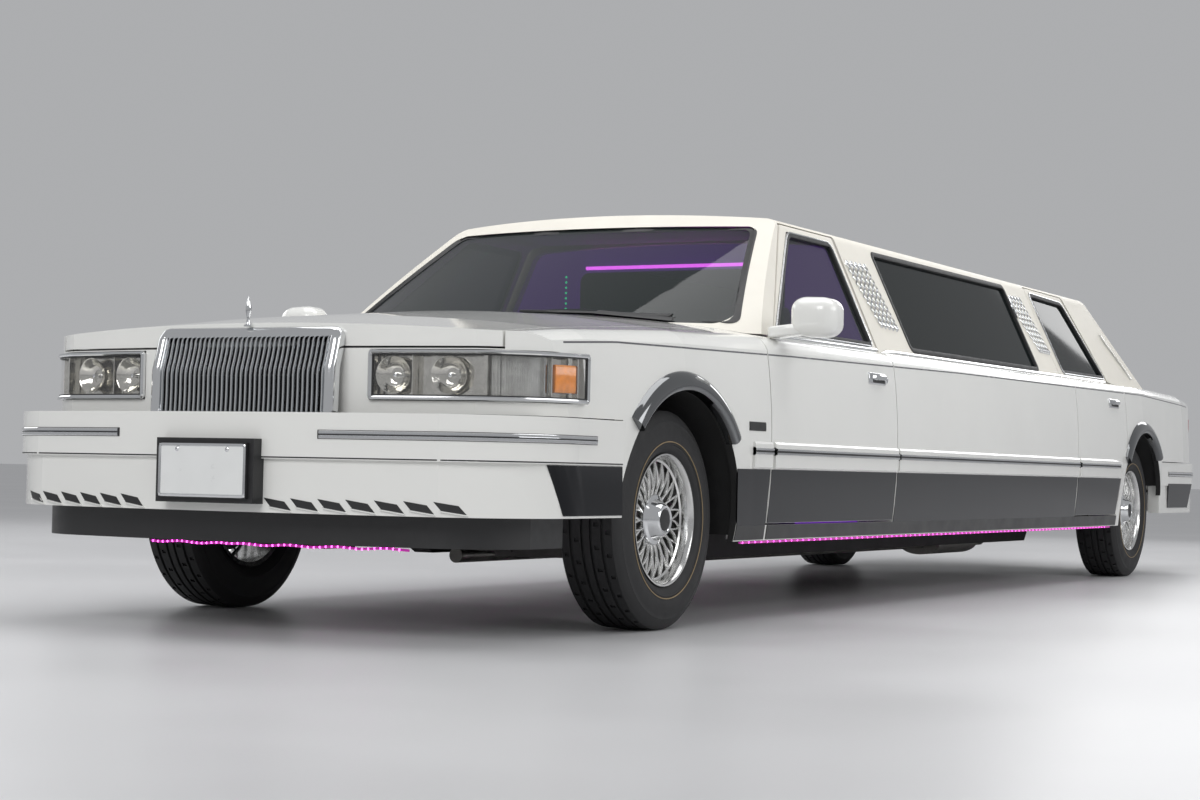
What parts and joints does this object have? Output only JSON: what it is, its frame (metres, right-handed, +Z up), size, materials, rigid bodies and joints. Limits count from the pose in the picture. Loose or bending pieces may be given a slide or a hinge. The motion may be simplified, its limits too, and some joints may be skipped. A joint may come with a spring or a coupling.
{
  "type": "stretch limousine",
  "caption": "White stretch limousine based on a luxury sedan, with four doors, padded roof, upright chrome grille, hollow cabin and steered front wheels.",
  "frame": {"origin": "on the ground under the middle of the car's length and width", "axes": "+X towards the car's front, +Y to its left, +Z up"},
  "size_m": [8.145, 2.3012, 1.468],
  "materials": {
    "white_paint": "gloss",
    "cream_vinyl": "padded grain",
    "chrome_trim": "mirror polish",
    "clear_glass": "clear",
    "tinted_glass": "dark tint",
    "tyre_rubber": "matt",
    "wheel_alloy": "machined",
    "black_plastic": "fine grain",
    "chassis_black": "satin",
    "cast_grey": "as cast",
    "exhaust_steel": "dull",
    "red_lens": "clear moulded",
    "light_tube": "clear tube",
    "grey_leather": "soft grain",
    "dark_trim": "grained",
    "purple_trim": "padded"
  },
  "bodies": {
    "root": {"frame": "chassis_black", "floor": "chassis_black", "body_shell": "white_paint", "front_fenders": "white_paint", "roof": "cream_vinyl", "fixed_glass": "tinted_glass", "bumpers": "white_paint", "boot_floor": "chassis_black", "wheel_houses": "chassis_black", "air_dam": "black_plastic", "front_plate": "black_plastic", "grille": "chrome_trim", "headlamps": "clear_glass", "tail_lamps": "red_lens", "dashboard": "dark_trim", "front_seats": "grey_leather", "partition": "purple_trim", "rear_seats": "grey_leather", "engine": "cast_grey", "front_suspension": "chassis_black", "rear_axle": "cast_grey", "exhaust": "exhaust_steel", "light_rope": "light_tube"},
    "hood": {"hood": "white_paint"},
    "trunk_lid": {"trunk_lid": "white_paint"},
    "steering_wheel": {"steering_wheel": "dark_trim"},
    "knuckle_left": {"knuckle_left": "cast_grey"},
    "knuckle_right": {"knuckle_right": "cast_grey"},
    "front_door_left": {"front_door_left": "white_paint", "front_glass_left": "tinted_glass", "mirror_left": "white_paint"},
    "wheel_front_left": {"tyre_front_left": "tyre_rubber", "rim_front_left": "wheel_alloy"},
    "rear_door_left": {"rear_door_left": "white_paint", "rear_glass_left": "tinted_glass"},
    "wheel_rear_left": {"tyre_rear_left": "tyre_rubber", "rim_rear_left": "wheel_alloy"},
    "front_door_right": {"front_door_right": "white_paint", "front_glass_right": "tinted_glass", "mirror_right": "white_paint"},
    "wheel_front_right": {"tyre_front_right": "tyre_rubber", "rim_front_right": "wheel_alloy"},
    "rear_door_right": {"rear_door_right": "white_paint", "rear_glass_right": "tinted_glass"},
    "wheel_rear_right": {"tyre_rear_right": "tyre_rubber", "rim_rear_right": "wheel_alloy"}
  },
  "joints": [
    {"name": "steer_left", "type": "hinge", "parent": "root", "child": "knuckle_left", "pos_m": [2.8775, 0.7275, 0.346], "axis": [0, 0, 1], "range_deg": [-30, 30]},
    {"name": "steer_right", "type": "hinge", "parent": "root", "child": "knuckle_right", "pos_m": [2.8775, -0.7275, 0.346], "axis": [0, 0, 1], "range_deg": [-30, 30]},
    {"name": "spin_front_left", "type": "hinge", "parent": "knuckle_left", "child": "wheel_front_left", "pos_m": [2.8775, 0.7975, 0.346], "axis": [0, 1, 0], "continuous": true},
    {"name": "spin_rear_left", "type": "hinge", "parent": "root", "child": "wheel_rear_left", "pos_m": [-2.6425, 0.804, 0.346], "axis": [0, 1, 0], "continuous": true},
    {"name": "spin_front_right", "type": "hinge", "parent": "knuckle_right", "child": "wheel_front_right", "pos_m": [2.8775, -0.7975, 0.346], "axis": [0, 1, 0], "continuous": true},
    {"name": "spin_rear_right", "type": "hinge", "parent": "root", "child": "wheel_rear_right", "pos_m": [-2.6425, -0.804, 0.346], "axis": [0, 1, 0], "continuous": true},
    {"name": "front_door_left_hinge", "type": "hinge", "parent": "root", "child": "front_door_left", "pos_m": [2.2365, 0.976, 0.6], "axis": [0, 0, -1], "range_deg": [0, 65]},
    {"name": "rear_door_left_hinge", "type": "hinge", "parent": "root", "child": "rear_door_left", "pos_m": [-1.4235, 0.976, 0.6], "axis": [0, 0, -1], "range_deg": [0, 65]},
    {"name": "front_door_right_hinge", "type": "hinge", "parent": "root", "child": "front_door_right", "pos_m": [2.2365, -0.976, 0.6], "axis": [0, 0, 1], "range_deg": [0, 65]},
    {"name": "rear_door_right_hinge", "type": "hinge", "parent": "root", "child": "rear_door_right", "pos_m": [-1.4235, -0.976, 0.6], "axis": [0, 0, 1], "range_deg": [0, 65]},
    {"name": "hood_hinge", "type": "hinge", "parent": "root", "child": "hood", "pos_m": [2.2195, 0, 0.988], "axis": [0, -1, 0], "range_deg": [0, 50]},
    {"name": "trunk_hinge", "type": "hinge", "parent": "root", "child": "trunk_lid", "pos_m": [-3.0895, 0, 1.026], "axis": [0, 1, 0], "range_deg": [0, 75]},
    {"name": "steering_wheel_turn", "type": "hinge", "parent": "root", "child": "steering_wheel", "pos_m": [1.6875, 0.38, 0.85], "axis": [-0.8829, 0, 0.4695], "range_deg": [-450, 450]}
  ],
  "couplings": [
    {"joint": "steer_right", "follows": "steer_left", "ratio": 1},
    {"joint": "steering_wheel_turn", "follows": "steer_left", "ratio": 15}
  ]
}
